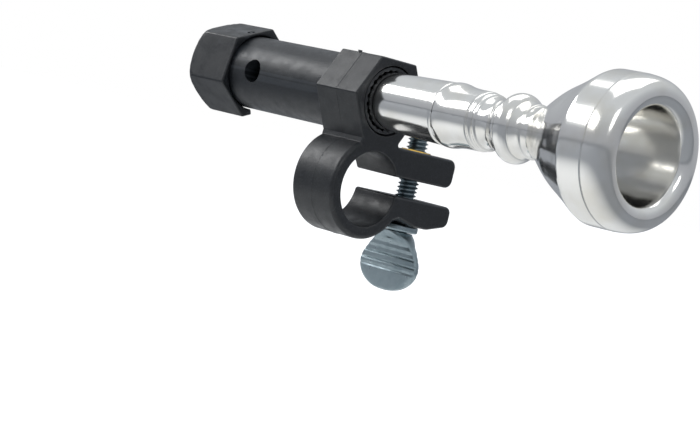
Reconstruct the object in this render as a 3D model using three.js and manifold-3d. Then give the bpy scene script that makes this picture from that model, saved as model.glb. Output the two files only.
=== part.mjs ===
// Clamp-on practice holder for a trumpet mouthpiece. Millimetres, +Z up.
// The origin is the centre of the clamp bore; +X runs towards the player, +Y the way the clamp ears point.
import * as THREE from "three";
import { mergeVertices } from "three/addons/utils/BufferGeometryUtils.js";
import Module from "manifold-3d";

const wasm = await Module();
wasm.setup();

// Driving dimensions.
const AXIS_Z = 16.9; // tube axis above the clamp bore axis
const HALF_LONG = 5.7; // half the length of the bracket along X
const CLAMP_BORE_R = 7.1;
const CLAMP_OUT_R = 9.55;
const COLLAR_HALF = 9.1; // collar, axis to its side corner
const COLLAR_FLAT = 7.75; // collar, axis to its top flat
const COLLAR_BORE_R = 6.55;
const UPPER_EAR = { bottom: 3.35, top: 8.9, end: 21.4, round: 1.6 };
const LOWER_EAR = { bottom: -5.35, top: -0.2, end: 22.9, round: 1.3, root: -4.25, tip: -4.3 };
const SCREW_Y = 15.4;
const SCREW_R = 2.085; // number 8 screw
const SCREW_TOP = 14.2;
const SCREW_HOLE_R = 2.45;
const SCREW_LEAD = 0.5; // chamfer at the screw's tip
const INSERT = { r: 3.0, bore: 2.25, z0: 4.3, z1: 9.1, seatGap: 0.12, seatFloor: 0.1 };
const WASHER = { r: 3.85, bore: 2.35, z0: -6.75, z1: -5.5, edge: 0.35 };
const BLADE = { top: -6.95, wide: 6.8, waist: -13.6, bottom: -18.55, neck: 3.0, thick: 1.7 };
const SHOULDER = { wide: 4.0, z: -8.9, flank: -11.2 }; // the curve from the neck out to the widest point
const BLADE_TURN = (8 * Math.PI) / 180;
const TUBE_R = 7.2;
const TUBE_END = -43.0;
const TUBE_EDGE = 0.4;
const TUBE_WALL_END = 2.0; // closed end of the tube
const TUBE_BORE_R = 3.6;
const STEP_GAP = 0.2; // tube shoulder to the back of the collar
const SPIGOT_R = 6.4;
const SOCKET_END = -20.2;
const FRONT_END = 5.55;
const VENT = { x: -26.5, r: 2.25 };
const PORT = { x: -36.6, r: 1.8 };
const GROOVE = { x0: -42.15, x1: -40.65, r: 5.9 };
const O_RING = { r: 6.6, cord: 0.62 };
const CAP = { x0: -44.9, x1: -33.0, corner: 9.34, bore: 7.4, floor: -43.4, back: 7.9, dome: 3.2 };
const CAP_TURN = (21.8 * Math.PI) / 180;
const SLOT = { wide: 5.0, deep: 6, x0: -40.3, angle: (291.8 * Math.PI) / 180 };
const TIP_X = -18.9; // small end of the mouthpiece shank
const TIP_R = 4.825;
const TAPER = 1 / 40; // radius per length, the usual 1:20 shank
const SHANK_GAP = 0.15;
const SHANK_BORE_R = 4.3; // backbore at the small end
const BAND_R = 13.5; // the rim is 27 mm across
const THROAT_R = 1.83;
const CREST = { x: 69.2, r: 10.3 };
const SEG = 48; // sides of a turned part
const CURVE_STEPS = 5; // straight pieces in each curve of an outline

const shankR = (x) => TIP_R + (x - TIP_X) * TAPER;

function toSolid(geometry) {
  const bare = new THREE.BufferGeometry();
  const flat = geometry.index ? geometry.toNonIndexed() : geometry;
  bare.setAttribute("position", flat.getAttribute("position"));
  const merged = mergeVertices(bare, 1e-4);
  const tri = [];
  const idx = merged.index.array;
  for (let i = 0; i < idx.length; i += 3) {
    const [a, b, c] = [idx[i], idx[i + 1], idx[i + 2]];
    if (a !== b && b !== c && a !== c) tri.push(a, b, c);
  }
  const make = (t) =>
    new wasm.Manifold(
      new wasm.Mesh({
        numProp: 3,
        vertProperties: new Float32Array(merged.attributes.position.array),
        triVerts: new Uint32Array(t),
      }),
    );
  const solid = make(tri);
  if (solid.volume() > 0) return solid;
  for (let i = 0; i < tri.length; i += 3) [tri[i + 1], tri[i + 2]] = [tri[i + 2], tri[i + 1]];
  return make(tri);
}

function toMesh(solid, name, look) {
  const made = solid.getMesh();
  const geometry = new THREE.BufferGeometry();
  geometry.setAttribute("position", new THREE.BufferAttribute(new Float32Array(made.vertProperties), 3));
  geometry.setIndex(new THREE.BufferAttribute(new Uint32Array(made.triVerts), 1));
  geometry.computeVertexNormals();
  const mesh = new THREE.Mesh(geometry, new THREE.MeshStandardMaterial(look));
  mesh.name = name;
  return mesh;
}

// A closed profile of [radius, x] turned about a line along X at height z.
function turnedX(profile, z = AXIS_Z) {
  const pts = [...profile, profile[0]].map(([r, x]) => new THREE.Vector2(r, x));
  return toSolid(new THREE.LatheGeometry(pts, SEG).rotateZ(-Math.PI / 2).translate(0, 0, z));
}

// A closed profile of [radius, z] turned about the screw axis, a line along Z.
function turnedZ(profile) {
  const pts = [...profile, profile[0]].map(([r, z]) => new THREE.Vector2(r, z));
  return toSolid(new THREE.LatheGeometry(pts, SEG).rotateX(Math.PI / 2).translate(0, SCREW_Y, 0));
}

// A flat shape in y and z drawn out along X.
function slabX(shape, x0, x1) {
  const options = { depth: x1 - x0, bevelEnabled: false, curveSegments: CURVE_STEPS };
  const g = new THREE.ExtrudeGeometry(shape, options);
  const m = new THREE.Matrix4().makeBasis(
    new THREE.Vector3(0, 1, 0),
    new THREE.Vector3(0, 0, 1),
    new THREE.Vector3(1, 0, 0),
  );
  return toSolid(g.applyMatrix4(m).translate(x0, 0, 0));
}

const polygon = (points) => new THREE.Shape(points.map(([y, z]) => new THREE.Vector2(y, z)));

// A round plug along X, used for bores.
const plugX = (r, x0, x1, z) => turnedX([[0, x0], [r, x0], [r, x1], [0, x1]], z);

// A round plug along the screw axis.
const plugZ = (r, z0, z1) => turnedZ([[0, z0], [r, z0], [r, z1], [0, z1]]);

function bodyTube() {
  const shoulder = -HALF_LONG - STEP_GAP;
  const endWall = TUBE_END + TUBE_WALL_END;
  const drill = { long: 9, middle: 5.5 }; // each hole is drilled from outside, through one wall
  const profile = [
    [0, TUBE_END], [TUBE_R - TUBE_EDGE, TUBE_END], [TUBE_R, TUBE_END + TUBE_EDGE],
    [TUBE_R, GROOVE.x0], [GROOVE.r, GROOVE.x0], [GROOVE.r, GROOVE.x1], [TUBE_R, GROOVE.x1],
    [TUBE_R, shoulder], [SPIGOT_R, shoulder], [SPIGOT_R, FRONT_END],
    [shankR(FRONT_END) + SHANK_GAP, FRONT_END], [shankR(SOCKET_END) + SHANK_GAP, SOCKET_END],
    [TUBE_BORE_R, SOCKET_END], [TUBE_BORE_R, endWall], [0, endWall],
  ];
  const vent = toSolid(
    new THREE.CylinderGeometry(VENT.r, VENT.r, drill.long, SEG).translate(VENT.x, -drill.middle, AXIS_Z),
  );
  const port = toSolid(
    new THREE.CylinderGeometry(PORT.r, PORT.r, drill.long, SEG)
      .rotateX(Math.PI / 2)
      .translate(PORT.x, 0, AXIS_Z - drill.middle),
  );
  return turnedX(profile).subtract(vent).subtract(port);
}

function resistanceCap() {
  const corners = [...Array(6).keys()].map((k) => {
    const a = CAP_TURN + (k * Math.PI) / 3;
    return [CAP.corner * Math.cos(a), AXIS_Z + CAP.corner * Math.sin(a)];
  });
  const envelope = turnedX([
    [0, CAP.x0], [CAP.back - 0.6, CAP.x0], [CAP.back, CAP.x0 + 0.35],
    [CAP.corner + 0.2, CAP.x0 + CAP.dome], [CAP.corner + 0.2, CAP.x1], [0, CAP.x1],
  ]);
  const bore = plugX(CAP.bore, CAP.floor, CAP.x1 + 1, AXIS_Z);
  const slot = toSolid(
    new THREE.BoxGeometry(CAP.x1 + 1 - SLOT.x0, SLOT.deep, SLOT.wide)
      .translate((CAP.x1 + 1 + SLOT.x0) / 2, CAP.bore - 2.4 + SLOT.deep / 2, 0)
      .rotateX(SLOT.angle)
      .translate(0, 0, AXIS_Z),
  );
  return slabX(polygon(corners), CAP.x0, CAP.x1).intersect(envelope).subtract(bore).subtract(slot);
}

function capORing() {
  const ring = [...Array(12).keys()].map((k) => {
    const a = (k * Math.PI) / 6;
    return [O_RING.r + O_RING.cord * Math.cos(a), (GROOVE.x0 + GROOVE.x1) / 2 + O_RING.cord * Math.sin(a)];
  });
  return turnedX(ring);
}

function upperEar(root) {
  const { bottom, top, end, round } = UPPER_EAR;
  const ear = new THREE.Shape();
  ear.moveTo(root, bottom);
  ear.lineTo(end - round, bottom);
  ear.absarc(end - round, bottom + round, round, -Math.PI / 2, 0);
  ear.absarc(end - round, top - round, round, 0, Math.PI / 2);
  ear.lineTo(root, top);
  return ear;
}

// Thin where it leaves the ring, deepest over the screw, and tapering towards its tip.
function lowerEar(root) {
  const { bottom, top, end, round } = LOWER_EAR;
  const ear = new THREE.Shape();
  ear.moveTo(root, LOWER_EAR.root);
  ear.lineTo(9.4, LOWER_EAR.root);
  ear.lineTo(13.9, bottom);
  ear.lineTo(17.6, bottom);
  ear.lineTo(end - round, LOWER_EAR.tip);
  ear.quadraticCurveTo(end, LOWER_EAR.tip + 0.2, end, LOWER_EAR.tip + round);
  ear.absarc(end - round, top - round, round, 0, Math.PI / 2);
  ear.lineTo(root, top);
  return ear;
}

function clampBracket() {
  const low = AXIS_Z - COLLAR_FLAT;
  const high = AXIS_Z + COLLAR_FLAT;
  const half = COLLAR_HALF / 2;
  const collar = polygon([
    [COLLAR_HALF, AXIS_Z], [half, high], [-half, high],
    [-COLLAR_HALF, AXIS_Z], [-half - 0.2, low], [half, low],
  ]);
  const neck = polygon([[-4.9, 8.1], [-2, 6], [3, 6], [4.2, 8.5], [4.5, low + 1], [-4.8, low + 1]]);
  const [x0, x1] = [-HALF_LONG, HALF_LONG];
  const slitHigh = UPPER_EAR.bottom - LOWER_EAR.top;
  const slit = new THREE.BoxGeometry(2 * HALF_LONG + 2, 30, slitHigh);
  const seat = INSERT.z0 - INSERT.seatFloor;
  return slabX(collar, x0, x1)
    .add(plugX(CLAMP_OUT_R, x0, x1, 0))
    .add(slabX(neck, x0, x1))
    .add(slabX(upperEar(5), x0, x1))
    .add(slabX(lowerEar(7.6), x0, x1))
    .subtract(plugX(CLAMP_BORE_R, x0 - 1, x1 + 1, 0))
    .subtract(plugX(COLLAR_BORE_R, x0 - 1, x1 + 1, AXIS_Z))
    .subtract(toSolid(slit.translate(0, 17, LOWER_EAR.top + slitHigh / 2)))
    .subtract(plugZ(SCREW_HOLE_R, LOWER_EAR.bottom - 1, 1))
    .subtract(plugZ(SCREW_HOLE_R, UPPER_EAR.bottom - 1, seat))
    .subtract(plugZ(INSERT.r + INSERT.seatGap, seat, UPPER_EAR.top + 1));
}

const threadedInsert = () =>
  turnedZ([[INSERT.bore, INSERT.z0], [INSERT.r, INSERT.z0], [INSERT.r, INSERT.z1], [INSERT.bore, INSERT.z1]]);

function screwWasher() {
  const { r, bore, z0, z1, edge } = WASHER;
  return turnedZ([
    [bore, z0], [r - edge, z0], [r, z0 + edge], [r, z1 - edge], [r - edge, z1], [bore, z1],
  ]);
}

// A spade blade below a short round neck, with a plain shaft of the thread's major diameter.
function thumbScrew() {
  const { top, wide, waist, bottom, neck, thick } = BLADE;
  const outline = new THREE.Shape();
  outline.moveTo(-neck, top);
  outline.bezierCurveTo(-SHOULDER.wide, SHOULDER.z, -wide, SHOULDER.flank, -wide, waist);
  outline.absellipse(0, waist, wide, waist - bottom, Math.PI, 2 * Math.PI);
  outline.bezierCurveTo(wide, SHOULDER.flank, SHOULDER.wide, SHOULDER.z, neck, top);
  const blade = slabX(outline, -thick / 2, thick / 2)
    .rotate([0, 0, -90 + (BLADE_TURN * 180) / Math.PI])
    .translate([0, SCREW_Y, 0]);
  const shaft = turnedZ([
    [0, top - 2], [SCREW_R, top - 1], [SCREW_R, SCREW_TOP - SCREW_LEAD],
    [SCREW_R - SCREW_LEAD, SCREW_TOP], [0, SCREW_TOP],
  ]);
  const root = turnedZ([[0, top - 2.6], [1.2, top - 2.6], [neck - 0.4, top - 0.8], [neck, top], [0, top]]);
  return blade.add(shaft).add(root);
}

// Shank, two rings and a bead, neck, bowl, band, rounded rim, cup, throat and backbore, as x and radius.
function mouthpiece() {
  const path = new THREE.Path();
  const line = (...points) => points.forEach(([x, r]) => path.lineTo(x, r));
  const through = (...points) => path.splineThru(points.map(([x, r]) => new THREE.Vector2(x, r)));
  path.moveTo(TIP_X, SHANK_BORE_R);
  line([TIP_X, TIP_R], [21.5, shankR(21.5)], [22.9, 6.0], [24.3, 6.0]);
  path.quadraticCurveTo(25.2, 5.45, 27.5, 5.46);
  line([30.2, 5.45], [31.2, 5.2]);
  through([32.9, 4.72], [34.1, 4.55], [35.4, 4.8], [36.9, 5.55]);
  path.quadraticCurveTo(37.5, 6.35, 38.6, 6.3);
  path.quadraticCurveTo(39.7, 6.1, 41.1, 5.05);
  path.quadraticCurveTo(42.4, 4.6, 43.7, 4.6);
  through([46.4, 5.55], [48.9, 7.35], [52.7, 9.75], [56.7, 11.8], [59.6, BAND_R]);
  line([64.6, BAND_R]);
  path.bezierCurveTo(67.3, BAND_R - 0.1, CREST.x, 12.3, CREST.x, CREST.r);
  path.quadraticCurveTo(69.1, 8.5, 67.2, 8.25);
  path.quadraticCurveTo(61.9, 8.0, 57.6, 5.6);
  path.bezierCurveTo(55.0, 3.4, 53.9, THROAT_R, 52.2, THROAT_R);
  line([49.0, THROAT_R], [40.0, 2.3], [20.0, 3.1]);
  return turnedX(path.getPoints(CURVE_STEPS).map((p) => [p.y, p.x]));
}

const blackPlastic = { color: 0x17191b, roughness: 0.42, metalness: 0 };
const zinc = { color: 0x9aa6ab, roughness: 0.38, metalness: 1 };
const brass = { color: 0xb08d3f, roughness: 0.32, metalness: 1 };
const silver = { color: 0xe6e6e4, roughness: 0.1, metalness: 1 };
const rubber = { color: 0x101010, roughness: 0.8, metalness: 0 };

const holder = new THREE.Group();
holder.name = "mouthpiece_holder";
holder.add(
  toMesh(bodyTube(), "body_tube", blackPlastic),
  toMesh(resistanceCap(), "resistance_cap", blackPlastic),
  toMesh(capORing(), "cap_o_ring", rubber),
  toMesh(clampBracket(), "clamp_bracket", blackPlastic),
  toMesh(threadedInsert(), "threaded_insert", brass),
  toMesh(screwWasher(), "screw_washer", zinc),
  toMesh(thumbScrew(), "thumb_screw", zinc),
  toMesh(mouthpiece(), "mouthpiece", silver),
);

export default holder;
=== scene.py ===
import math

import bmesh
import bpy
from mathutils import Euler, Matrix, Vector


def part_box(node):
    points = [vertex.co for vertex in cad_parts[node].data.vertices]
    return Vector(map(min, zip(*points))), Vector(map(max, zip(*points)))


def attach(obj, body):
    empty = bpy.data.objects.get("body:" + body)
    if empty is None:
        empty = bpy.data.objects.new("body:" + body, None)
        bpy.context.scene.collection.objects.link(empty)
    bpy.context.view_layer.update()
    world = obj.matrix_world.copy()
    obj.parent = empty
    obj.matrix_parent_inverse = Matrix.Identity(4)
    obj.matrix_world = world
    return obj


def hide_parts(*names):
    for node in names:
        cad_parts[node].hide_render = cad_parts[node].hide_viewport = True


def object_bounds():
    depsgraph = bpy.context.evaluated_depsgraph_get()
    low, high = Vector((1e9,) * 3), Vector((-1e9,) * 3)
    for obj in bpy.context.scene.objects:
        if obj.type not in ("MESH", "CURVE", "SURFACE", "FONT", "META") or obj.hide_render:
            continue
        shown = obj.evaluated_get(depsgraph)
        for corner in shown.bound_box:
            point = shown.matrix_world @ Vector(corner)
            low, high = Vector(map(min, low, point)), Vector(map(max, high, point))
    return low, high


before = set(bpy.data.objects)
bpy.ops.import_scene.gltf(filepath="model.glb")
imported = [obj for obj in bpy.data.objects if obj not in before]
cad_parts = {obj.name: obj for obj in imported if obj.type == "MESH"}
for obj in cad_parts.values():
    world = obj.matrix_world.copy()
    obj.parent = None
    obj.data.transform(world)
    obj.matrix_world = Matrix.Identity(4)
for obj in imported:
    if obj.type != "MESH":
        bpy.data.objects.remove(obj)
cadLow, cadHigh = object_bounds()
mm = 0.001


def boxInMm(node):
    low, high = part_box(node)
    return low / mm, high / mm


tubeLow, tubeHigh = boxInMm("body_tube")
capLow, capHigh = boxInMm("resistance_cap")
bracketLow, bracketHigh = boxInMm("clamp_bracket")
washerLow, washerHigh = boxInMm("screw_washer")
screwLow, screwHigh = boxInMm("thumb_screw")
insertLow, insertHigh = boxInMm("threaded_insert")
sealLow, sealHigh = boxInMm("cap_o_ring")
cupLow, cupHigh = boxInMm("mouthpiece")
tubeAxis = Vector((0, (tubeLow.y + tubeHigh.y) / 2, (tubeLow.z + tubeHigh.z) / 2))
screwAxis = Vector((0, (washerLow.y + washerHigh.y) / 2, 0))
print("frame loaded", len(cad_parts), "nodes")


# small tools
def linear(hexColour):
    channels = [int(hexColour[i:i + 2], 16) / 255 for i in (1, 3, 5)]
    return [c / 12.92 if c <= 0.04045 else ((c + 0.055) / 1.055) ** 2.4 for c in channels] + [1.0]


def addNode(tree, kind, inputs=None, **settings):
    # settings are the node's own options; an input is a socket or a node to link, or a plain value
    node = tree.nodes.new(kind)
    for name, value in settings.items():
        setattr(node, name, value)
    for key, value in (inputs or {}).items():
        if isinstance(value, bpy.types.Node):
            value = value.outputs[0]
        if isinstance(value, bpy.types.NodeSocket):
            tree.links.new(value, node.inputs[key])
        else:
            node.inputs[key].default_value = value
    return node


def finishMesh(name, bm, material, sharpAngle=32):
    mesh = bpy.data.meshes.new(name)
    bm.to_mesh(mesh)
    bm.free()
    mesh.materials.append(material)
    mesh.polygons.foreach_set("use_smooth", [True] * len(mesh.polygons))
    if sharpAngle:
        mesh.set_sharp_from_angle(angle=math.radians(sharpAngle))
    piece = bpy.data.objects.new(name, mesh)
    bpy.context.scene.collection.objects.link(piece)
    return piece


def settle(piece):
    # turns the piece's live modifiers into plain mesh
    graph = bpy.context.evaluated_depsgraph_get()
    graph.update()
    mesh = bpy.data.meshes.new_from_object(piece.evaluated_get(graph), depsgraph=graph)
    piece.modifiers.clear()
    piece.data = mesh
    mesh.name = piece.name
    return piece


def addModifier(piece, kind, **settings):
    modifier = piece.modifiers.new(kind.lower(), kind)
    for name, value in settings.items():
        setattr(modifier, name, value)
    return modifier


def cut(piece, cutter, operation="DIFFERENCE"):
    addModifier(piece, "BOOLEAN", operation=operation, object=cutter, solver="EXACT")
    settle(piece)
    bpy.data.objects.remove(cutter)
    return piece


def softenEdges(piece, width, angle=40, segments=3):
    addModifier(
        piece, "BEVEL", width=width * mm, segments=segments, limit_method="ANGLE",
        angle_limit=math.radians(angle), use_clamp_overlap=True, loop_slide=False,
    )
    addModifier(piece, "WEIGHTED_NORMAL", keep_sharp=False, weight=80)
    return settle(piece)


def arc(centre, radius, start, end, steps):
    # points on an arc, angles in degrees
    spread = [math.radians(start + (end - start) * k / steps) for k in range(steps + 1)]
    return [(centre[0] + radius * math.cos(a), centre[1] + radius * math.sin(a)) for a in spread]


def rounded(corners, steps=5):
    # a polygon of (a, b, radius) corners, each rounded by an arc of that radius
    out = []
    for k, (a, b, radius) in enumerate(corners):
        here = Vector((a, b))
        before = (Vector(corners[k - 1][:2]) - here).normalized()
        after = (Vector(corners[(k + 1) % len(corners)][:2]) - here).normalized()
        if radius == 0:
            out.append(tuple(here))
            continue
        half = before.angle(after) / 2
        centre = here + (before + after).normalized() * radius / math.sin(half)
        reach = radius / math.tan(half)
        first, last = here + before * reach - centre, here + after * reach - centre
        for s in range(steps + 1):
            out.append(tuple(centre + first.slerp(last, s / steps).normalized() * radius))
    return out


def spaced(points, gap):
    # extra points along the straight stretches of a closed outline
    out = []
    for k, point in enumerate(points):
        a, b = Vector(point), Vector(points[(k + 1) % len(points)])
        count = max(1, math.ceil((b - a).length / gap))
        out += [tuple(a.lerp(b, s / count)) for s in range(count)]
    return out


def bezier(knots, steps):
    # a cubic curve from the first point to the last, pulled towards the two between
    out = []
    for k in range(steps + 1):
        t = k / steps
        shares = ((1 - t) ** 3, 3 * t * (1 - t) ** 2, 3 * t * t * (1 - t), t ** 3)
        out.append(tuple(sum(s * p[i] for s, p in zip(shares, knots)) for i in (0, 1)))
    return out


def spline(points, steps=6):
    # a smooth curve through the points
    out = []
    padded = [points[0]] + list(points) + [points[-1]]
    for a, b, c, d in zip(padded, padded[1:], padded[2:], padded[3:]):
        a, b, c, d = (Vector(p) for p in (a, b, c, d))
        for k in range(steps):
            t = k / steps
            squared = (2 * a - 5 * b + 4 * c - d) * t * t
            cubed = (3 * b - a - 3 * c + d) * t ** 3
            out.append(tuple(0.5 * (2 * b + (c - a) * t + squared + cubed)))
    return out + [tuple(points[-1])]


def skin(bm, rings, closed=(True, True)):
    # quads between rings of equal length, each ring a list of points in millimetres
    made = [[bm.verts.new(Vector(p) * mm) for p in ring] for ring in rings]
    for low, high in zip(made, made[1:]):
        for k in range(len(low)):
            n = (k + 1) % len(low)
            bm.faces.new((low[k], low[n], high[n], high[k]))
    for ring, close in ((made[0][::-1], closed[0]), (made[-1], closed[1])):
        if close:
            bm.faces.new(ring)
    return made


def newTree(name, inputs):
    tree = bpy.data.node_groups.new(name, "GeometryNodeTree")
    tree.interface.new_socket("Geometry", in_out="INPUT", socket_type="NodeSocketGeometry")
    for label, (kind, value) in inputs.items():
        socket = tree.interface.new_socket(label, in_out="INPUT", socket_type="NodeSocket" + kind)
        if value is not None:
            socket.default_value = value
    tree.interface.new_socket("Geometry", in_out="OUTPUT", socket_type="NodeSocketGeometry")
    return tree, addNode(tree, "NodeGroupInput"), addNode(tree, "NodeGroupOutput")


def runTree(piece, tree, **values):
    modifier = piece.modifiers.new(tree.name, "NODES")
    modifier.node_group = tree
    sockets = [s for s in tree.interface.items_tree if s.in_out == "INPUT"]
    named = {s.name.replace(" ", "").lower(): s.identifier for s in sockets}
    for name, value in values.items():
        modifier[named[name.lower()]] = value
    return settle(piece)


# materials
def newMaterial(name, **values):
    material = bpy.data.materials.new(name)
    material.use_nodes = True
    tree = material.node_tree
    shader = tree.nodes["Principled BSDF"]
    for key, value in values.items():
        shader.inputs[key.replace("_", " ")].default_value = value
    where = addNode(tree, "ShaderNodeTexCoord").outputs["Object"]
    return material, tree, shader, where


def scratches(tree, where, turn, length, width, threshold):
    # a mask of short fine lines, lying at one turn
    lie = addNode(tree, "ShaderNodeMapping", {"Vector": where, "Rotation": turn})
    scale = (1 / (length * mm), 1 / (width * mm), 1 / (width * mm))
    stretch = addNode(tree, "ShaderNodeMapping", {"Vector": lie, "Scale": scale})
    noise = addNode(tree, "ShaderNodeTexNoise", {"Vector": stretch, "Scale": 1.0, "Detail": 1.0})
    return addNode(tree, "ShaderNodeMapRange", {
        "Value": noise, "From Min": threshold, "From Max": threshold + 0.04,
    }, clamp=True)


absLook = {
    # the scuffed colour tints the scratches and the edges; wear start, full and shade set the paler edges,
    # partly edge wear and partly a painted highlight where the rounded edges catch the light
    "base": "#14171b", "scuffed": "#4c5157", "roughness": (0.30, 0.46), "moulding": 2.2, "grain": 0.16,
    "scratchShade": 0.32, "scratchRough": 0.12, "wearStart": 0.53, "wearFull": 0.62, "wearShade": 0.30,
    # for each set of scratches: its turn, length and width in millimetres, and how rare it is
    "scratches": (
        ((0.3, 0.5, 1.1), 3.2, 0.12, 0.655),
        ((1.2, -0.4, 0.2), 2.4, 0.10, 0.66),
        ((-0.8, 1.0, 2.2), 4.0, 0.14, 0.66),
    ),
}


def mouldedAbs():
    # injection-moulded ABS: black with a soft sheen, faint flow waves, handling scratches, and paler edges
    # that are partly wear and partly a painted highlight
    c = absLook
    material, tree, shader, where = newMaterial("moulded_black_abs", IOR=1.53, Roughness=0.36)
    wave = addNode(
        tree, "ShaderNodeTexNoise", {"Vector": where, "Scale": 1 / (c["moulding"] * mm), "Detail": 3.0}
    )
    grain = addNode(
        tree, "ShaderNodeTexNoise", {"Vector": where, "Scale": 1 / (c["grain"] * mm), "Detail": 2.0}
    )
    scratched, *others = [scratches(tree, where, *values) for values in c["scratches"]]
    for other in others:
        scratched = addNode(tree, "ShaderNodeMath", {0: scratched, 1: other}, operation="MAXIMUM")
    # paler along sharp edges: partly edge wear, partly a painted highlight standing in for the light the
    # rounded edges catch
    edge = addNode(tree, "ShaderNodeNewGeometry").outputs["Pointiness"]
    wornAndHighlit = addNode(tree, "ShaderNodeMapRange", {
        "Value": edge, "From Min": c["wearStart"], "From Max": c["wearFull"], "To Max": c["wearShade"],
    }, clamp=True)
    shade = addNode(tree, "ShaderNodeMath", {0: scratched, 1: c["scratchShade"]}, operation="MULTIPLY")
    scratchAndEdgeHighlight = addNode(tree, "ShaderNodeMath", {0: shade, 1: wornAndHighlit}, operation="MAXIMUM")
    colour = addNode(tree, "ShaderNodeMix", {
        "Factor": scratchAndEdgeHighlight, 6: linear(c["base"]), 7: linear(c["scuffed"]),
    }, data_type="RGBA")
    tree.links.new(colour.outputs[2], shader.inputs["Base Color"])
    low, high = c["roughness"]
    sheen = addNode(tree, "ShaderNodeMapRange", {
        "Value": wave, "From Min": 0.35, "From Max": 0.65, "To Min": low, "To Max": high,
    }, clamp=True)
    duller = addNode(tree, "ShaderNodeMath", {0: scratched, 1: c["scratchRough"]}, operation="MULTIPLY")
    rough = addNode(tree, "ShaderNodeMath", {0: sheen, 1: duller}, operation="ADD")
    tree.links.new(rough.outputs[0], shader.inputs["Roughness"])
    uncut = addNode(tree, "ShaderNodeMath", {0: 1.0, 1: scratched}, operation="SUBTRACT")
    relief = addNode(tree, "ShaderNodeBump", {"Height": wave, "Distance": 0.05 * mm, "Strength": 0.35})
    for height, distance, strength in ((grain, 0.006, 0.30), (uncut, 0.02, 0.4)):
        relief = addNode(tree, "ShaderNodeBump", {
            "Height": height, "Distance": distance * mm, "Strength": strength, "Normal": relief,
        })
    tree.links.new(relief.outputs[0], shader.inputs["Normal"])
    return material


zincPlate = {
    "base": "#aab6bb", "dull": "#7f9097", "drawMarks": 0.22, "mottle": 1.6, "roughness": (0.26, 0.46),
}


def zincPlatedSteel():
    # stamped steel with clear zinc plate: bluish grey, satin, with fine drawn lines and a cloudy mottle
    c = zincPlate
    material, tree, shader, where = newMaterial("zinc_plated_stamped_steel", Metallic=1.0, Roughness=0.34)
    mottle = addNode(
        tree, "ShaderNodeTexNoise", {"Vector": where, "Scale": 1 / (c["mottle"] * mm), "Detail": 4.0}
    )
    scale = (0.12 / mm, 0.12 / mm, 1 / (c["drawMarks"] * mm))
    stretched = addNode(tree, "ShaderNodeMapping", {"Vector": where, "Scale": scale})
    lines = addNode(tree, "ShaderNodeTexNoise", {"Vector": stretched, "Scale": 1.0, "Detail": 3.0})
    colour = addNode(tree, "ShaderNodeMix", {
        "Factor": mottle, 6: linear(c["base"]), 7: linear(c["dull"]),
    }, data_type="RGBA")
    tree.links.new(colour.outputs[2], shader.inputs["Base Color"])
    low, high = c["roughness"]
    rough = addNode(tree, "ShaderNodeMapRange", {
        "Value": mottle, "From Min": 0.3, "From Max": 0.7, "To Min": low, "To Max": high,
    }, clamp=True)
    tree.links.new(rough.outputs[0], shader.inputs["Roughness"])
    relief = addNode(tree, "ShaderNodeBump", {"Height": lines, "Distance": 0.02 * mm, "Strength": 0.45})
    tree.links.new(relief.outputs[0], shader.inputs["Normal"])
    return material


brassLook = {"base": "#d4b25e", "dull": "#a8863c", "tone": 0.9}


def turnedBrass():
    # free-machining brass, turned: warm yellow, slightly uneven in tone
    c = brassLook
    material, tree, shader, where = newMaterial("turned_brass", Metallic=1.0, Roughness=0.3)
    tone = addNode(
        tree, "ShaderNodeTexNoise", {"Vector": where, "Scale": 1 / (c["tone"] * mm), "Detail": 3.0}
    )
    colour = addNode(
        tree, "ShaderNodeMix", {"Factor": tone, 6: linear(c["base"]), 7: linear(c["dull"])}, data_type="RGBA"
    )
    tree.links.new(colour.outputs[2], shader.inputs["Base Color"])
    relief = addNode(tree, "ShaderNodeBump", {"Height": tone, "Distance": 0.01 * mm, "Strength": 0.3})
    tree.links.new(relief.outputs[0], shader.inputs["Normal"])
    return material


silverPlate = {
    "base": "#f4f3f0", "tarnish": "#d9d3c4", "haze": 0.5, "toolRings": 0.35, "cloud": 7.0,
    "roughness": (0.12, 0.18),
}


def polishedSilverPlate():
    # silver plate on turned brass, buffed: a slightly hazy mirror with the faintest turning rings
    c = silverPlate
    material, tree, shader, where = newMaterial("polished_silver_plate", Metallic=1.0, Roughness=0.15)
    cloud = addNode(
        tree, "ShaderNodeTexNoise", {"Vector": where, "Scale": 1 / (c["cloud"] * mm), "Detail": 3.0}
    )
    rings = addNode(tree, "ShaderNodeTexWave", {
        "Vector": where, "Scale": 1 / (20 * c["toolRings"] * mm), "Distortion": 0.4, "Detail": 2.0,
    }, wave_type="BANDS", bands_direction="X")
    haze = addNode(tree, "ShaderNodeMapRange", {
        "Value": cloud, "From Min": 0.45, "From Max": 0.75, "To Max": c["haze"],
    }, clamp=True)
    colour = addNode(tree, "ShaderNodeMix", {
        "Factor": haze, 6: linear(c["base"]), 7: linear(c["tarnish"]),
    }, data_type="RGBA")
    tree.links.new(colour.outputs[2], shader.inputs["Base Color"])
    low, high = c["roughness"]
    rough = addNode(tree, "ShaderNodeMapRange", {
        "Value": cloud, "From Min": 0.3, "From Max": 0.7, "To Min": low, "To Max": high,
    }, clamp=True)
    tree.links.new(rough.outputs[0], shader.inputs["Roughness"])
    relief = addNode(tree, "ShaderNodeBump", {
        "Height": rings.outputs["Fac"], "Distance": 0.002 * mm, "Strength": 0.25,
    })
    tree.links.new(relief.outputs[0], shader.inputs["Normal"])
    return material


rubberLook = {"base": "#0e0e0f", "bloom": "#262626", "dust": 0.4}


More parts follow.
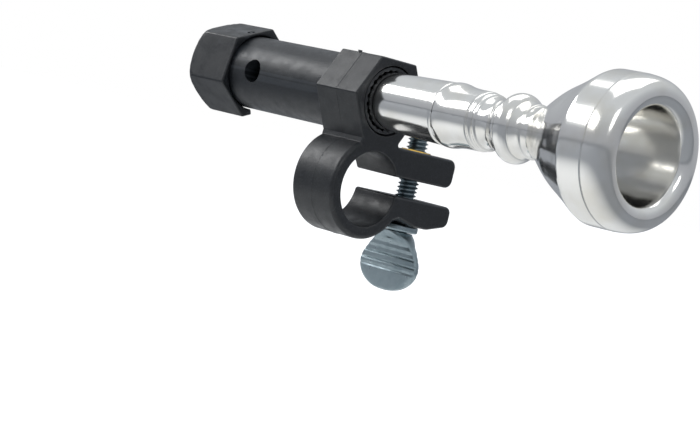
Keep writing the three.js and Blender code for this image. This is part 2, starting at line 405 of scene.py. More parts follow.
def nitrileRubber():
    # moulded nitrile: dull black with a dusty bloom
    c = rubberLook
    material, tree, shader, where = newMaterial("moulded_nitrile", IOR=1.5, Roughness=0.7)
    dust = addNode(
        tree, "ShaderNodeTexNoise", {"Vector": where, "Scale": 1 / (c["dust"] * mm), "Detail": 4.0}
    )
    colour = addNode(
        tree, "ShaderNodeMix", {"Factor": dust, 6: linear(c["base"]), 7: linear(c["bloom"])}, data_type="RGBA"
    )
    tree.links.new(colour.outputs[2], shader.inputs["Base Color"])
    relief = addNode(tree, "ShaderNodeBump", {"Height": dust, "Distance": 0.01 * mm, "Strength": 0.3})
    tree.links.new(relief.outputs[0], shader.inputs["Normal"])
    return material


blackAbs = mouldedAbs()
zinc = zincPlatedSteel()
brass = turnedBrass()
silver = polishedSilverPlate()
nitrile = nitrileRubber()
print("materials made")


# geometry node trees
weldGap = 1e-6


def turningTree():
    # turns the object's own mesh, a chain of points with x along the axis and z the radius, about the X axis
    tree, given, result = newTree("turnedAboutAxis", {
        "Sides": ("Int", 96), "Axis Height": ("Float", 0.0), "Finish": ("Material", None),
    })
    out = given.outputs
    profile = out["Geometry"]
    size = addNode(tree, "GeometryNodeAttributeDomainSize", {"Geometry": profile}, component="MESH")
    count = size.outputs["Point Count"]
    columns = addNode(tree, "ShaderNodeMath", {0: out["Sides"], 1: 1.0}, operation="ADD")
    grid = addNode(tree, "GeometryNodeMeshGrid", {"Vertices X": columns, "Vertices Y": count})
    index = addNode(tree, "GeometryNodeInputIndex")
    row = addNode(tree, "ShaderNodeMath", {0: index, 1: count}, operation="MODULO")
    # a quarter more keeps whole numbers clear of the step
    shifted = addNode(tree, "ShaderNodeMath", {0: index, 1: 0.25}, operation="ADD")
    ratio = addNode(tree, "ShaderNodeMath", {0: shifted, 1: count}, operation="DIVIDE")
    column = addNode(tree, "ShaderNodeMath", {0: ratio}, operation="FLOOR")
    swept = addNode(tree, "ShaderNodeMath", {0: column, 1: 2 * math.pi}, operation="MULTIPLY")
    angle = addNode(tree, "ShaderNodeMath", {0: swept, 1: out["Sides"]}, operation="DIVIDE")
    position = addNode(tree, "GeometryNodeInputPosition")
    sample = addNode(
        tree, "GeometryNodeSampleIndex", {"Geometry": profile, "Value": position, "Index": row},
        data_type="FLOAT_VECTOR", domain="POINT",
    )
    part = addNode(tree, "ShaderNodeSeparateXYZ", {0: sample.outputs["Value"]})
    radius = part.outputs["Z"]
    cosine = addNode(tree, "ShaderNodeMath", {0: angle}, operation="COSINE")
    sine = addNode(tree, "ShaderNodeMath", {0: angle}, operation="SINE")
    y = addNode(tree, "ShaderNodeMath", {0: radius, 1: cosine}, operation="MULTIPLY")
    rise = addNode(tree, "ShaderNodeMath", {0: radius, 1: sine}, operation="MULTIPLY")
    z = addNode(tree, "ShaderNodeMath", {0: rise, 1: out["Axis Height"]}, operation="ADD")
    place = addNode(tree, "ShaderNodeCombineXYZ", {"X": part.outputs["X"], "Y": y, "Z": z})
    placed = addNode(tree, "GeometryNodeSetPosition", {"Geometry": grid, "Position": place})
    welded = addNode(tree, "GeometryNodeMergeByDistance", {"Geometry": placed, "Distance": weldGap})
    real = addNode(tree, "GeometryNodeRealizeInstances", {"Geometry": welded})
    painted = addNode(tree, "GeometryNodeSetMaterial", {"Geometry": real, "Material": out["Finish"]})
    tree.links.new(painted.outputs[0], result.inputs[0])
    return tree


def threadTree():
    # a threaded rod along Z: every vertex row follows the helix, and rows past either end are pressed flat
    tree, given, result = newTree("threadedRod", {
        "Major Radius": ("Float", 0.002), "Pitch": ("Float", 0.0008), "Depth": ("Float", 0.0005),
        "Bottom": ("Float", 0.0), "Top": ("Float", 0.01), "Lead": ("Float", 0.0006), "Sides": ("Int", 48),
        "Axis Y": ("Float", 0.0), "Finish": ("Material", None),
    })
    perTurn = 6.0  # rows of points for each turn
    spareTurns = 3.0
    out = given.outputs
    major, bottom, top = out["Major Radius"], out["Bottom"], out["Top"]
    length = addNode(tree, "ShaderNodeMath", {0: top, 1: bottom}, operation="SUBTRACT")
    needed = addNode(tree, "ShaderNodeMath", {0: length, 1: out["Pitch"]}, operation="DIVIDE")
    whole = addNode(tree, "ShaderNodeMath", {0: needed}, operation="CEIL")
    turns = addNode(tree, "ShaderNodeMath", {0: whole, 1: spareTurns}, operation="ADD")
    rows = addNode(tree, "ShaderNodeMath", {0: turns, 1: perTurn}, operation="MULTIPLY")
    columns = addNode(tree, "ShaderNodeMath", {0: out["Sides"], 1: 1.0}, operation="ADD")
    grid = addNode(tree, "GeometryNodeMeshGrid", {"Vertices X": columns, "Vertices Y": rows})
    index = addNode(tree, "GeometryNodeInputIndex")
    row = addNode(tree, "ShaderNodeMath", {0: index, 1: rows}, operation="MODULO")
    shifted = addNode(tree, "ShaderNodeMath", {0: index, 1: 0.25}, operation="ADD")
    ratio = addNode(tree, "ShaderNodeMath", {0: shifted, 1: rows}, operation="DIVIDE")
    column = addNode(tree, "ShaderNodeMath", {0: ratio}, operation="FLOOR")
    share = addNode(tree, "ShaderNodeMath", {0: column, 1: out["Sides"]}, operation="DIVIDE")
    angle = addNode(tree, "ShaderNodeMath", {0: share, 1: 2 * math.pi}, operation="MULTIPLY")
    spun = addNode(tree, "ShaderNodeMath", {0: row, 1: perTurn}, operation="DIVIDE")
    lag = addNode(tree, "ShaderNodeMath", {0: share, 1: spareTurns / 2}, operation="SUBTRACT")
    along = addNode(tree, "ShaderNodeMath", {0: spun, 1: lag}, operation="ADD")
    climb = addNode(tree, "ShaderNodeMath", {0: along, 1: out["Pitch"]}, operation="MULTIPLY")
    height = addNode(tree, "ShaderNodeMath", {0: climb, 1: bottom}, operation="ADD")
    aboveBottom = addNode(tree, "ShaderNodeMath", {0: height, 1: bottom}, operation="MAXIMUM")
    level = addNode(tree, "ShaderNodeMath", {0: aboveBottom, 1: top}, operation="MINIMUM")
    # the thread form over one pitch, from 0 at the root to 1 at the crest
    step = addNode(tree, "ShaderNodeMath", {0: row, 1: perTurn}, operation="MODULO")
    phase = addNode(tree, "ShaderNodeMath", {0: step, 1: perTurn}, operation="DIVIDE")
    offset = addNode(tree, "ShaderNodeMath", {0: phase, 1: 0.5}, operation="SUBTRACT")
    distance = addNode(tree, "ShaderNodeMath", {0: offset}, operation="ABSOLUTE")
    ramp = addNode(tree, "ShaderNodeMath", {0: distance, 1: 3.0}, operation="MULTIPLY")
    fall = addNode(tree, "ShaderNodeMath", {0: ramp, 1: 1.0}, operation="MINIMUM")
    form = addNode(tree, "ShaderNodeMath", {0: 1.0, 1: fall}, operation="SUBTRACT")
    root = addNode(tree, "ShaderNodeMath", {0: major, 1: out["Depth"]}, operation="SUBTRACT")
    ridge = addNode(tree, "ShaderNodeMath", {0: form, 1: out["Depth"]}, operation="MULTIPLY")
    threaded = addNode(tree, "ShaderNodeMath", {0: root, 1: ridge}, operation="ADD")
    # the chamfer at the tip
    toTop = addNode(tree, "ShaderNodeMath", {0: top, 1: level}, operation="SUBTRACT")
    tipRadius = addNode(tree, "ShaderNodeMath", {0: major, 1: out["Lead"]}, operation="SUBTRACT")
    leadIn = addNode(tree, "ShaderNodeMath", {0: tipRadius, 1: toTop}, operation="ADD")
    side = addNode(tree, "ShaderNodeMath", {0: threaded, 1: leadIn}, operation="MINIMUM")
    # the first and last rows close the ends on the axis
    isFirst = addNode(tree, "ShaderNodeMath", {0: row, 1: 0.5}, operation="LESS_THAN")
    lastRow = addNode(tree, "ShaderNodeMath", {0: rows, 1: 1.5}, operation="SUBTRACT")
    isLast = addNode(tree, "ShaderNodeMath", {0: row, 1: lastRow}, operation="GREATER_THAN")
    isEnd = addNode(tree, "ShaderNodeMath", {0: isFirst, 1: isLast}, operation="ADD")
    isOpen = addNode(tree, "ShaderNodeMath", {0: 1.0, 1: isEnd}, operation="SUBTRACT")
    radius = addNode(tree, "ShaderNodeMath", {0: side, 1: isOpen}, operation="MULTIPLY")
    cosine = addNode(tree, "ShaderNodeMath", {0: angle}, operation="COSINE")
    sine = addNode(tree, "ShaderNodeMath", {0: angle}, operation="SINE")
    x = addNode(tree, "ShaderNodeMath", {0: radius, 1: cosine}, operation="MULTIPLY")
    across = addNode(tree, "ShaderNodeMath", {0: radius, 1: sine}, operation="MULTIPLY")
    y = addNode(tree, "ShaderNodeMath", {0: across, 1: out["Axis Y"]}, operation="ADD")
    place = addNode(tree, "ShaderNodeCombineXYZ", {"X": x, "Y": y, "Z": level})
    placed = addNode(tree, "GeometryNodeSetPosition", {"Geometry": grid, "Position": place})
    welded = addNode(tree, "GeometryNodeMergeByDistance", {"Geometry": placed, "Distance": 2 * weldGap})
    real = addNode(tree, "GeometryNodeRealizeInstances", {"Geometry": welded})
    painted = addNode(tree, "GeometryNodeSetMaterial", {"Geometry": real, "Material": out["Finish"]})
    tree.links.new(painted.outputs[0], result.inputs[0])
    return tree


turnedAboutAxis = turningTree()
threadedRod = threadTree()


def turned(name, profile, material, height, sides=96, sharpAngle=32):
    # profile: (along, radius) points in millimetres, closed on itself or on the axis
    mesh = bpy.data.meshes.new(name)
    chain = [Vector((x, 0, r)) * mm for x, r in profile]
    mesh.from_pydata(chain, [(k, k + 1) for k in range(len(chain) - 1)], [])
    piece = bpy.data.objects.new(name, mesh)
    bpy.context.scene.collection.objects.link(piece)
    runTree(piece, turnedAboutAxis, sides=sides, axisHeight=height * mm, finish=material)
    bm = bmesh.new()
    bm.from_mesh(piece.data)
    bmesh.ops.dissolve_degenerate(bm, dist=1e-7, edges=bm.edges)
    bmesh.ops.recalc_face_normals(bm, faces=bm.faces)
    bpy.data.objects.remove(piece)
    return finishMesh(name, bm, material, sharpAngle)


def turnedUpright(piece):
    # a piece turned about X stood up about the screw axis
    piece.data.transform(Matrix.Translation(screwAxis * mm) @ Matrix.Rotation(-math.pi / 2, 4, "Y"))
    return piece


def rod(name, radius, low, high, along="Z", at=(0, 0), sides=64):
    # a plain round cutter; at is its place across its own axis
    bm = bmesh.new()
    bmesh.ops.create_cone(
        bm, cap_ends=True, segments=sides, radius1=radius * mm, radius2=radius * mm, depth=(high - low) * mm
    )
    piece = finishMesh(name, bm, blackAbs)
    middle = (low + high) / 2
    if along == "Z":
        place = Matrix.Translation(Vector((at[0], at[1], middle)) * mm)
    else:
        place = Matrix.Translation(Vector((at[0], middle, at[1])) * mm) @ Matrix.Rotation(math.pi / 2, 4, "X")
    piece.data.transform(place)
    return piece


def keep(piece, body, slotName, *nodes):
    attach(piece, body)
    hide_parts(*nodes)
    print(piece.name, len(piece.data.polygons), "faces")
    return piece


# camera and studio
view = {"place": (287.49, -275.58, 8.13), "turn": (88.09, -13.36, 46.47), "lens": 108.65}


def addCamera():
    data = bpy.data.cameras.new("camera")
    data.sensor_width = 36
    data.lens = view["lens"]
    data.clip_start, data.clip_end = 0.01, 10
    camera = bpy.data.objects.new("camera", data)
    turn = Euler([math.radians(a) for a in view["turn"]])
    camera.matrix_world = Matrix.LocRotScale(Vector(view["place"]) * mm, turn, None)
    bpy.context.scene.collection.objects.link(camera)
    bpy.context.scene.camera = camera


def addArea(name, place, aim, size, power):
    data = bpy.data.lights.new(name, "AREA")
    data.shape = "RECTANGLE"
    data.size, data.size_y = size
    data.energy = power
    lamp = bpy.data.objects.new(name, data)
    lamp.location = place
    lamp.rotation_mode = "QUATERNION"
    lamp.rotation_quaternion = (Vector(aim) - Vector(place)).to_track_quat("-Z", "Y")
    bpy.context.scene.collection.objects.link(lamp)


studio = {
    "floorDrop": 0.012, "floorHalf": 6.0, "card": "#f4f4f3", "table": "#8d9095", "cardReach": (0.05, 0.12),
    "glow": 0.92, "backdrop": "#ffffff",
    # sky brightness by height: the room the silver mirrors, mid grey round the horizon
    "room": ((0.50, "#a6a9af"), (0.58, "#a9acb2"), (0.70, "#b6babf"), (0.85, "#cbcfd3")),
}


def addFloor():
    bm = bmesh.new()
    bmesh.ops.create_grid(bm, x_segments=1, y_segments=1, size=studio["floorHalf"])
    bmesh.ops.translate(bm, verts=bm.verts, vec=(0, 0, cadLow.z - studio["floorDrop"]))
    # white card under the object on a greyer table; to the camera all of it is burnt out to white
    card, tree, shader, where = newMaterial("white_studio_card", Roughness=0.9)
    reach = addNode(tree, "ShaderNodeVectorMath", {0: where}, operation="LENGTH").outputs["Value"]
    near, far = studio["cardReach"]
    edge = addNode(
        tree, "ShaderNodeMapRange", {"Value": reach, "From Min": near, "From Max": far},
        interpolation_type="SMOOTHSTEP",
    )
    tone = addNode(
        tree, "ShaderNodeMix", {"Factor": edge, 6: linear(studio["card"]), 7: linear(studio["table"])},
        data_type="RGBA",
    )
    tree.links.new(tone.outputs[2], shader.inputs["Base Color"])
    shader.inputs["Emission Color"].default_value = linear(studio["backdrop"])
    seen = addNode(tree, "ShaderNodeLightPath").outputs["Is Camera Ray"]
    glow = addNode(tree, "ShaderNodeMath", {0: seen, 1: studio["glow"]}, operation="MULTIPLY")
    tree.links.new(glow.outputs[0], shader.inputs["Emission Strength"])
    finishMesh("floor", bm, card, 0)


def addRoom():
    world = bpy.data.worlds.new("studio")
    world.use_nodes = True
    bpy.context.scene.world = world
    tree = world.node_tree
    room = tree.nodes["Background"]
    way = addNode(tree, "ShaderNodeTexCoord").outputs["Generated"]
    part = addNode(tree, "ShaderNodeSeparateXYZ", {0: way})
    height = addNode(tree, "ShaderNodeMath", {0: part.outputs["Z"], 1: 0.5, 2: 0.5}, operation="MULTIPLY_ADD")
    ramp = addNode(tree, "ShaderNodeValToRGB", {0: height})
    stops = ramp.color_ramp.elements
    (low, lowGrey), *between, (high, highGrey) = studio["room"]
    stops[0].position, stops[0].color = low, linear(lowGrey)
    stops[1].position, stops[1].color = high, linear(highGrey)
    for position, grey in between:
        stops.new(position).color = linear(grey)
    tree.links.new(ramp.outputs[0], room.inputs["Color"])
    backdrop = addNode(tree, "ShaderNodeBackground", {"Color": linear(studio["backdrop"])})
    seen = addNode(tree, "ShaderNodeLightPath").outputs["Is Camera Ray"]
    both = addNode(tree, "ShaderNodeMixShader", {0: seen, 1: room.outputs[0], 2: backdrop})
    tree.links.new(both.outputs[0], tree.nodes["World Output"].inputs["Surface"])


def addLights():
    # the long softbox whose mirror image is the white stripe down the silver and the sheen on the tube
    addArea("key_softbox", (-0.60, -0.42, 0.42), (0, 0, 0.01), (1.1, 0.24), 3.6)
    # a broad box overhead for the upper facets, and a small one beside the camera for the cup
    addArea("top_softbox", (-0.15, 0.15, 0.90), (0, 0, 0), (0.9, 0.7), 2.4)
    addArea("cup_softbox", (0.62, -0.35, 0.40), (0.06, 0, 0.017), (0.24, 0.30), 0.6)


bpy.context.scene.view_settings.view_transform = "Standard"
addCamera()
addFloor()
addRoom()
addLights()
print("studio set")


# body tube
bodyTube = {
    "bore": 3.6, "endWall": 2.0, "edge": 0.4, "spigot": 6.4, "spigotBack": -5.9, "spigotEdge": 0.35,
    "socketMouth": 5.52, "socketEnd": 4.94, "socketDepth": -20.2,
    "flutes": 24, "fluteDepth": 0.26, "fluteLength": 3.2,
    "grooveFloor": 5.9, "vent": (-26.5, 2.25), "port": (-36.6, 1.8), "sides": 192,
}


def makeBodyTube():
    c = bodyTube
    back, front, radius = tubeLow.x, tubeHigh.x, (tubeHigh.z - tubeLow.z) / 2
    profile = [(back, 0)]
    profile += arc((back + c["edge"], radius - c["edge"]), c["edge"], 180, 90, 4)
    profile += [
        (sealLow.x, radius), (sealLow.x, c["grooveFloor"]),
        (sealHigh.x, c["grooveFloor"]), (sealHigh.x, radius),
        (c["spigotBack"] - 0.2, radius), (c["spigotBack"], radius - 0.2), (c["spigotBack"], c["spigot"]),
    ]
    profile += arc((front - c["spigotEdge"], c["spigot"] - c["spigotEdge"]), c["spigotEdge"], 90, 0, 4)
    profile += [(front - 0.06, c["socketMouth"] + 0.12), (front - 0.25, c["socketMouth"])]
    steps = 8
    for k in range(1, steps + 1):
        share = k / steps
        profile.append((
            front - 0.25 + (c["socketDepth"] - front + 0.25) * share ** 2,
            c["socketMouth"] + (c["socketEnd"] - c["socketMouth"]) * share ** 2,
        ))
    profile += [(c["socketDepth"], c["bore"]), (back + c["endWall"], c["bore"]), (back + c["endWall"], 0)]
    tube = turned("tube_shell", profile, blackAbs, tubeAxis.z, c["sides"])
    # the mouth of the socket is fluted, to grip shanks of slightly different sizes
    for v in tube.data.vertices:
        y, z = v.co.y / mm - tubeAxis.y, v.co.z / mm - tubeAxis.z
        radius = math.hypot(y, z)
        share = (v.co.x / mm - front + c["fluteLength"]) / c["fluteLength"]
        if share > 0 and radius < c["socketMouth"] + 0.2:
            wave = 0.5 + 0.5 * math.cos(c["flutes"] * math.atan2(z, y))
            scale = 1 + c["fluteDepth"] * wave * min(1, share * 1.4) / radius
            v.co.y, v.co.z = (tubeAxis.y + y * scale) * mm, (tubeAxis.z + z * scale) * mm
    x, radius = c["vent"]
    cut(tube, rod("cutter", radius, tubeLow.y - 1, 0, "Y", (x, tubeAxis.z), sides=48))
    x, radius = c["port"]
    cut(tube, rod("cutter", radius, tubeLow.z - 1, tubeAxis.z, "Z", (x, 0), sides=48))
    softenEdges(tube, 0.14, 50, 2)
    keep(tube, "holder", "black_moulding", "body_tube")


makeBodyTube()


# turning cap
turningCap = {
    "turn": 21.8, "cornerRadius": 0.55, "bore": 7.4, "floor": 1.5, "wallEdge": 0.32,
    "backFlat": 6.7, "backRound": 4.0, "blend": 0.2, "gap": 0.55,
    "slotWide": 5.0, "slotLong": 7.3, "slotAngle": 291.8, "slotCorner": 0.7,
    "gateAngle": 111.8, "gateBack": 1.35, "gateRadius": 0.8, "gateDeep": 0.35, "nub": 0.32,
}


def aroundTube(piece, angle):
    # turns a piece made above the tube's axis round that axis, angle measured from +Y towards +Z
    there = Matrix.Translation(tubeAxis * mm)
    piece.data.transform(there @ Matrix.Rotation(math.radians(angle - 90), 4, "X") @ there.inverted())
    return piece


def makeTurningCap():
    c = turningCap
    back, front = capLow.x, capHigh.x
    corner = max(capHigh.z - tubeAxis.z, capHigh.y, -capLow.y)
    turns = [math.radians(c["turn"] + 60 * k) for k in range(6)]
    corner /= max(max(abs(math.sin(a)), abs(math.cos(a))) for a in turns)
    corners = [(corner * math.cos(a), corner * math.sin(a), c["cornerRadius"]) for a in turns]
    outline = spaced(rounded(corners, 6), c["gap"])
    polar = [(math.hypot(y, z), math.atan2(z, y)) for y, z in outline]

    def envelope(x):
        share = min(1, (x - back) / c["backRound"])
        return c["backFlat"] + (corner + 0.5 - c["backFlat"]) * math.sqrt(1 - (1 - share) ** 2)

    def ring(x, inset=0, hole=None):
        points = []
        blend, limit = c["blend"], envelope(x)
        for radius, angle in polar:
            h = max(0, min(1, 0.5 + 0.5 * (limit - radius) / blend))
            r = hole if hole is not None else limit * (1 - h) + radius * h - blend * h * (1 - h) - inset
            points.append((x, tubeAxis.y + r * math.cos(angle), tubeAxis.z + r * math.sin(angle)))
        return points

    rings = [ring(back, hole=c["backFlat"] * 0.5), ring(back, hole=c["backFlat"] - 0.12)]
    shares = (0.004, 0.02, 0.05, 0.1, 0.17, 0.27, 0.4, 0.55, 0.75, 1.0)
    rings += [ring(back + c["backRound"] * share) for share in shares]
    edge = c["wallEdge"]
    rings += [ring(front - edge * (1 - math.sin(a)), edge * (1 - math.cos(a)))
              for a in (math.radians(22.5 * k) for k in range(5))]
    rings += [ring(front - edge * (1 - math.cos(a)), hole=c["bore"] + edge * (1 - math.sin(a)))
              for a in (math.radians(30 * k) for k in range(4))]
    rings += [ring(back + c["floor"] + 0.3, hole=c["bore"]), ring(back + c["floor"], hole=c["bore"] - 0.3)]
    bm = bmesh.new()
    skin(bm, rings)
    bmesh.ops.recalc_face_normals(bm, faces=bm.faces)
    cap = finishMesh("hex_cap", bm, blackAbs)
    # the slot in the skirt, over the port
    half, long = c["slotWide"] / 2, c["slotLong"]
    slot = rounded([
        (front + 2, half, 0), (front - long, half, c["slotCorner"]), (front - long, -half, c["slotCorner"]),
        (front + 2, -half, 0),
    ], 5)
    bm = bmesh.new()
    skin(bm, [[(x, y, tubeAxis.z + r) for x, y in slot] for r in (5.5, 11)])
    bmesh.ops.recalc_face_normals(bm, faces=bm.faces)
    cut(cap, aroundTube(finishMesh("cutter", bm, blackAbs), c["slotAngle"]))
    # the moulding gate: a shallow dimple with the broken stub of the runner in it
    flat = corner * math.cos(math.pi / 6)
    at = (front - c["gateBack"], 0)
    top = tubeAxis.z + flat
    dimple = rod("cutter", c["gateRadius"], top - c["gateDeep"], top + 1, "Z", at, sides=24)
    cut(cap, aroundTube(dimple, c["gateAngle"]))
    stub = rod("cutter", c["nub"], top - 2 * c["gateDeep"], top - 0.02, "Z", at, sides=16)
    cut(cap, aroundTube(stub, c["gateAngle"]), "UNION")
    softenEdges(cap, 0.1, 50, 2)
    keep(cap, "cap", "black_moulding", "resistance_cap")


makeTurningCap()


# cap seal
def makeSeal():
    middle, thick = (sealLow.x + sealHigh.x) / 2, (sealHigh.x - sealLow.x) / 2
    outer = (sealHigh.z - sealLow.z) / 2
    profile = arc((middle, outer - thick), thick, 0, 360, 20)
    keep(turned("cap_seal", profile, nitrile, tubeAxis.z, 96, 60), "holder", "seal_rubber", "cap_o_ring")


makeSeal()


# clamp bracket
clampBracket = {
    "collarSide": 9.1, "collarBore": 6.55, "clampBore": 7.1, "collarCorner": 0.45,
    "slitLow": -0.2, "slitHigh": 3.35, "upperTop": 8.9, "upperEnd": 21.4,
    "upperRound": 1.6, "lowerRound": 1.3,
    "ringEdge": 0.85, "collarEdge": 0.32, "earEdge": 0.5, "boreEdge": 0.4, "holeEdge": 0.35,
    "seamHigh": 0.06, "seamWide": 0.1, "screwHole": 2.45, "seatGap": 0.12,
    "gate": (-0.9, -4.35), "gateRadius": 0.42, "gateHigh": 0.3,
}


def bracketOutline():
    # the bracket seen from the player's end: (y, z), anticlockwise, starting under the lower ear
    c = clampBracket
    ring, bore = -bracketLow.z, c["clampBore"]
    side, flat = c["collarSide"], bracketHigh.z - tubeAxis.z
    low, high, half = tubeAxis.z - flat, tubeAxis.z + flat, c["collarSide"] / 2
    corner, lowerEnd = c["collarCorner"], bracketHigh.y
    sag = washerHigh.z + 0.15
    points = [
        (8.2, -math.sqrt(ring ** 2 - 8.2 ** 2), 0.35), (9.4, -4.2, 0.7), (13.9, sag, 3.0), (17.6, sag, 4.0),
        (lowerEnd, -4.05, 1.5), (lowerEnd, c["slitLow"], c["lowerRound"]),
        (math.sqrt(bore ** 2 - c["slitLow"] ** 2), c["slitLow"], 0.5),
    ]
    points += [(y, z, 0) for y, z in arc((0, 0), bore, -9, -322, 110)]
    points += [
        (math.sqrt(bore ** 2 - c["slitHigh"] ** 2), c["slitHigh"], 0.45),
        (c["upperEnd"], c["slitHigh"], c["upperRound"]), (c["upperEnd"], c["upperTop"], c["upperRound"]),
        (half - 0.1, c["upperTop"], 0.5), (side, tubeAxis.z, corner), (half, high, corner),
        (-half, high, corner), (-side, tubeAxis.z, corner), (-half - 0.2, low, 0.3),
        (-half - 0.3, math.sqrt(ring ** 2 - (half + 0.3) ** 2), 0.25),
    ]
    points += [(y, z, 0) for y, z in arc((0, 0), ring, 124, 326, 100)]
    return spaced(rounded(points, 5), 0.6)


def softly(values, rounds=6):
    for _ in range(rounds):
        values = [(values[k - 1] + 2 * v + values[(k + 1) % len(values)]) / 4 for k, v in enumerate(values)]
    return values


def makeClampBracket():
    c = clampBracket
    outline = [Vector(p) for p in bracketOutline()]
    count = len(outline)
    ring, bore = -bracketLow.z, c["clampBore"]
    normals = []
    for k, p in enumerate(outline):
        along = (outline[(k + 1) % count] - p).normalized() + (p - outline[k - 1]).normalized()
        normals.append(Vector((along.y, -along.x)).normalized())
    edges, seams = [], []
    for p in outline:
        onRing = abs(p.length - ring) < 0.03 and (p.x < 0 or p.y < 0)
        onBore = abs(p.length - bore) < 0.03
        onCollar = p.y > c["upperTop"] + 0.3
        kind = "ringEdge" if onRing else "boreEdge" if onBore else "collarEdge" if onCollar else "earEdge"
        edges.append(c[kind])
        seams.append(1.0 if onRing or onCollar else 0.0)
    edges, seams = softly(edges), softly(seams, 3)
    reach = bracketHigh.x

    def loop(side, angle):
        # one row of the rounded rim at the front (side 1) or back (side -1); at 0 degrees it is on the flank
        s, k = math.sin(angle), 1 - math.cos(angle)
        return [
            (side * (reach - w * (1 - s)), p.x - n.x * w * k, p.y - n.y * w * k)
            for p, n, w in zip(outline, normals, edges)
        ]

    def flank(x, raised):
        return [
            (x, p.x + n.x * raised * m, p.y + n.y * raised * m) for p, n, m in zip(outline, normals, seams)
        ]

    steps = [math.radians(18 * k) for k in range(6)]
    wide = c["seamWide"]
    rows = [loop(-1, a) for a in reversed(steps)]
    rows += [flank(-wide, 0), flank(0, c["seamHigh"]), flank(wide, 0)]
    rows += [loop(1, a) for a in steps]
    bm = bmesh.new()
    made = skin(bm, rows, (False, False))
    edge, hole = c["holeEdge"], c["collarBore"]
    quarter = [math.radians(22.5 * k) for k in range(5)]
    bores = [(reach - edge * (1 - math.cos(a)), hole + edge * (1 - math.sin(a))) for a in quarter]
    bores = bores + [(-x, r) for x, r in reversed(bores)]
    circle = [math.radians(3.75 * k) for k in range(96)]
    holes = skin(bm, [
        [(x, tubeAxis.y + r * math.cos(a), tubeAxis.z + r * math.sin(a)) for a in circle] for x, r in bores
    ], (False, False))
    for outer, inner in ((made[-1], holes[0]), (made[0], holes[-1])):
        border = [
            e for e in bm.edges
            if e.is_boundary and (set(e.verts) <= set(outer) or set(e.verts) <= set(inner))
        ]
        bmesh.ops.triangle_fill(bm, use_beauty=True, edges=border)
    bmesh.ops.recalc_face_normals(bm, faces=bm.faces)
    bracket = finishMesh("collar_and_clamp", bm, blackAbs)
    at = (0, screwAxis.y)
    seat = insertLow.z - 0.1
    insertRadius = (insertHigh.x - insertLow.x) / 2 + c["seatGap"]
    cut(bracket, rod("cutter", c["screwHole"], -8, 1, "Z", at))
    cut(bracket, rod("cutter", c["screwHole"], 2, seat + 0.5, "Z", at))
    cut(bracket, rod("cutter", insertRadius, seat, 11, "Z", at))
    # the broken stub of the moulding runner on the collar's top corner
    high = bracketHigh.z
    stub = rod("cutter", c["gateRadius"], high - 1, high + c["gateHigh"], "Z", c["gate"], sides=20)
    cut(bracket, stub, "UNION")
    softenEdges(bracket, 0.12, 50, 2)
    keep(bracket, "holder", "black_moulding", "clamp_bracket")


makeClampBracket()


# clamp hardware
hardware = {
    "pitch": 0.794, "threadDepth": 0.49, "major": 2.085, "lead": 0.65, "insertBore": 2.25, "insertEdge": 0.2,
    "washerBore": 2.35, "washerEdge": 0.4, "bladeTurn": 8, "bladeWide": 6.8, "bladeWaist": -13.6, "neck": 3.0,
    "bladeHalfThick": 0.85, "grooves": (-11.7, -13.15, -14.35), "grooveDeep": 0.2, "grooveHalf": 0.26,
    "stepTop": -10.1, "stepBottom": -10.75,
}


def makeInsert():
    c = hardware
    edge, bore, radius = c["insertEdge"], c["insertBore"], (insertHigh.x - insertLow.x) / 2
    low, high = insertLow.z, insertHigh.z
    profile = [
        (low, bore + edge), (low, radius - edge), (low + edge, radius), (high - edge, radius),
        (high, radius - edge), (high, bore + edge), (high - edge, bore), (low + edge, bore),
        (low, bore + edge),
    ]
    insert = turnedUpright(turned("brass_insert", profile, brass, 0, 96))
    keep(insert, "holder", "brass_insert", "threaded_insert")


def makeWasher():
    c = hardware
    edge, bore, radius = c["washerEdge"], c["washerBore"], (washerHigh.x - washerLow.x) / 2
    low, high = washerLow.z, washerHigh.z
    profile = [(low, bore)] + arc((low + edge, radius - edge), edge, 180, 90, 5)
    profile += arc((high - 0.2, radius - 0.2), 0.2, 90, 0, 3) + [(high, bore), (low, bore)]
    keep(turnedUpright(turned("clamp_washer", profile, zinc, 0, 96)), "washer", "zinc_plate", "screw_washer")


def bladeRow(z, wide, thick, square, turn):
    # one level of the blade: a rounded bar whose corners get squarer as square rises from 2
    row = []
    count = 56
    for k in range(count):
        a = 2 * math.pi * k / count
        c, s = math.cos(a), math.sin(a)
        u = wide * math.copysign(abs(c) ** (2 / square), c)
        v = thick * math.copysign(abs(s) ** (2 / square), s)
        x = u * math.cos(turn) - v * math.sin(turn)
        y = u * math.sin(turn) + v * math.cos(turn)
        row.append((x, screwAxis.y + y, z))
    return row


def smooth(low, high, value):
    share = max(0, min(1, (value - low) / (high - low)))
    return share * share * (3 - 2 * share)


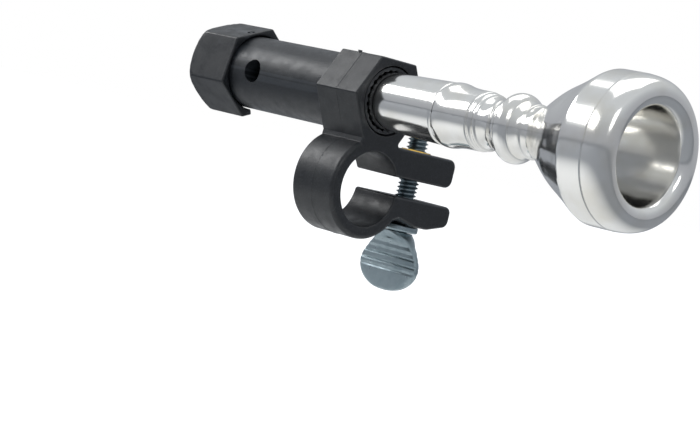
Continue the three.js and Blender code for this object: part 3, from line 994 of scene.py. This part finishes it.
def makeThumbScrew():
    c = hardware
    top, bottom, waist, wide = washerLow.z - 0.2, screwLow.z, c["bladeWaist"], c["bladeWide"]
    turn = math.radians(c["bladeTurn"])
    stations = [(waist + (bottom - waist) * math.sin(a), wide * math.cos(a))
                for a in (math.radians(2.5 * k) for k in range(35, 0, -1))]
    # the side runs from the widest point up to the neck on one curve
    stations += bezier([(waist, wide), (-11.2, wide), (-8.9, 4.0), (top, c["neck"])], 120)
    rows = []
    for z, width in stations:
        upper = smooth(c["stepBottom"], c["stepTop"], z)
        root = smooth(-9.6, top, z)
        thick = c["bladeHalfThick"] + 0.3 * upper + (c["neck"] - c["bladeHalfThick"] - 0.3) * root
        for groove in c["grooves"]:
            thick -= c["grooveDeep"] * max(0, 1 - abs(z - groove) / c["grooveHalf"])
        end = min(1, (z - bottom) / 0.45)
        thick *= math.sqrt(max(0.02, 1 - (1 - end) ** 2))
        rows.append(bladeRow(z, width, thick, 7 - 5 * root, turn))
    bm = bmesh.new()
    skin(bm, rows)
    bmesh.ops.recalc_face_normals(bm, faces=bm.faces)
    screw = finishMesh("spade_screw", bm, zinc, 40)
    shaft = bpy.data.objects.new("shaft", bpy.data.meshes.new("shaft"))
    bpy.context.scene.collection.objects.link(shaft)
    runTree(
        shaft, threadedRod, majorRadius=c["major"] * mm, pitch=c["pitch"] * mm, depth=c["threadDepth"] * mm,
        bottom=(top - 1.5) * mm, top=screwHigh.z * mm, lead=c["lead"] * mm, sides=64,
        axisY=screwAxis.y * mm, finish=zinc,
    )
    bm = bmesh.new()
    bm.from_mesh(shaft.data)
    bmesh.ops.dissolve_degenerate(bm, dist=1e-7, edges=bm.edges)
    bmesh.ops.recalc_face_normals(bm, faces=bm.faces)
    bpy.data.objects.remove(shaft)
    cut(screw, finishMesh("shaft", bm, zinc, 40), "UNION")
    screw.data.set_sharp_from_angle(angle=math.radians(35))
    keep(screw, "screw", "zinc_plate", "thumb_screw")


makeInsert()
makeWasher()
makeThumbScrew()


# mouthpiece
mouthpiece = {
    "taper": 0.025, "tipRadius": 4.825, "tipBore": 4.3, "sides": 160,
    "throat": 1.83, "neck": 4.6, "ring": 6.0, "barrel": 5.46, "bead": 6.3,
}


def makeMouthpiece():
    c = mouthpiece
    tip, crest, band = cupLow.x, cupHigh.x, (cupHigh.z - cupLow.z) / 2
    shank = lambda x: c["tipRadius"] + (x - tip) * c["taper"]
    profile = [(tip, c["tipBore"]), (tip, c["tipRadius"] - 0.1), (tip + 0.1, c["tipRadius"])]
    profile += [(21.4, shank(21.4))]
    profile += arc((21.75, shank(21.6) + 0.02), 0.3, 200, 340, 6)
    profile += spline([
        (22.25, 5.8), (22.7, 5.95), (23.4, c["ring"]), (24.2, 5.93), (25.2, 5.72), (26.4, 5.56),
        (28, c["barrel"]),
        (30.2, c["barrel"] - 0.01),
    ], 9)
    profile += [(30.35, 5.2), (30.5, 5.16)] + arc((30.95, 5.1), 0.32, 160, 20, 6)
    profile += [(31.4, 5.02), (31.55, 4.95)]
    profile += arc((32.05, 4.86), 0.34, 160, 15, 6) + [(32.5, 4.78)]
    profile += spline([
        (32.7, 4.76), (33.4, 4.62), (34.1, 4.55), (34.9, 4.66), (35.8, 5.0), (36.6, 5.32), (37.0, 5.42),
    ], 9)
    profile += [(37.15, 5.36), (37.25, 5.24)]
    profile += spline([
        (37.35, 5.45), (37.6, 5.95), (38.1, 6.24), (38.7, c["bead"]), (39.3, 6.2), (39.9, 5.82), (40.3, 5.42),
    ], 9)
    profile += [(40.42, 5.2), (40.55, 5.16)]
    profile += spline([(40.7, 5.2), (41.3, 4.96), (41.9, 4.78), (42.3, 4.72)], 8)
    profile += arc((42.75, 4.66), 0.26, 160, 20, 6)
    profile += spline([
        (43.15, 4.62), (43.7, c["neck"]), (44.5, 4.68), (45.4, 5.0), (46.4, 5.55), (47.6, 6.4), (48.9, 7.35),
        (50.9, 8.7), (52.7, 9.75), (54.9, 10.85), (56.7, 11.8), (58.3, 12.7), (59.35, 13.3),
    ], 5)
    profile += [(59.65, band - 0.08), (59.85, band)]
    # a fine turned line parts the band from the rim
    profile += [(62.2, band), (64.5, band), (64.62, band - 0.16), (64.74, band - 0.14)]
    profile += bezier([(64.86, band - 0.06), (67.5, band - 0.14), (crest, 12.5), (crest, 10.5)], 16)
    profile += bezier([(crest, 10.3), (crest - 0.05, 9.2), (crest - 0.7, 8.35), (67.2, 8.28)], 12)
    profile += spline([
        (66.6, 8.22), (64.5, 7.92), (61.0, 7.1), (57.6, 5.6), (55.2, 3.5), (53.9, 2.3), (52.4, c["throat"]),
    ], 8)
    profile += [(49.0, c["throat"]), (40.0, 2.3), (20.0, 3.1), (0, 3.7), (tip, c["tipBore"])]
    piece = turned("mouthpiece_body", spaced(profile, 0.6), silver, tubeAxis.z, c["sides"], 28)
    keep(piece, "mouthpiece", "silver_plate", "mouthpiece")


makeMouthpiece()
print("pieces made")
